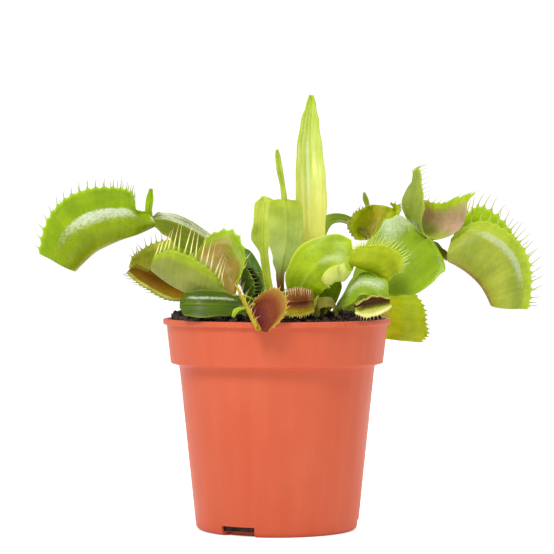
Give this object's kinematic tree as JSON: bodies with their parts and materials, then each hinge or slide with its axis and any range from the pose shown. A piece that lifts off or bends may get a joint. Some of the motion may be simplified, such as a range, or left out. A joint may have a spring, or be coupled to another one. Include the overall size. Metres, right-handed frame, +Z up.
{
  "type": "potted venus flytrap",
  "caption": "Carnivorous plant with broad petioles and hinged toothed traps growing from peat in a round nursery pot with a collar and foot notches.",
  "frame": {"origin": "centre of the pot's underside, on the surface that the pot stands on", "axes": "+Z up along the pot's axis, -Y towards the front of the plant, +X towards the plant's right-hand side seen from the front"},
  "size_m": [0.1873, 0.1094, 0.1624],
  "materials": {
    "pot_plastic": "satin moulded plastic, terracotta colour",
    "peat": "rough, crumbly, damp",
    "rhizome": "waxy, matt",
    "leaf_light": "waxy, translucent",
    "leaf_fresh": "waxy, glossy, translucent",
    "leaf_deep": "waxy, glossy",
    "leaf_blue": "waxy bloom, matt",
    "leaf_red": "waxy, red inside, yellow-green outside"
  },
  "bodies": {
    "root": {"pot": "pot_plastic", "soil": "peat", "rhizome_left": "rhizome", "rhizome_right": "rhizome", "leaf_far_left": "leaf_fresh", "leaf_left_open": "leaf_fresh", "leaf_left_low": "leaf_blue", "leaf_left_blade": "leaf_deep", "leaf_small_curl": "leaf_fresh", "leaf_dark_trap": "leaf_deep", "leaf_front_red": "leaf_red", "leaf_front_mouth": "leaf_red", "leaf_front_curl": "leaf_fresh", "leaf_center_blue": "leaf_blue", "leaf_center_young": "leaf_light", "leaf_tall": "leaf_light", "leaf_center_broad": "leaf_light", "leaf_right_low": "leaf_fresh", "leaf_right_upper": "leaf_fresh", "leaf_far_right": "leaf_light", "leaf_back_right": "leaf_fresh", "leaf_back_hanging": "leaf_fresh", "leaf_shaded": "leaf_deep", "leaf_back_left": "leaf_deep", "leaf_back_low": "leaf_fresh"}
  },
  "joints": []
}
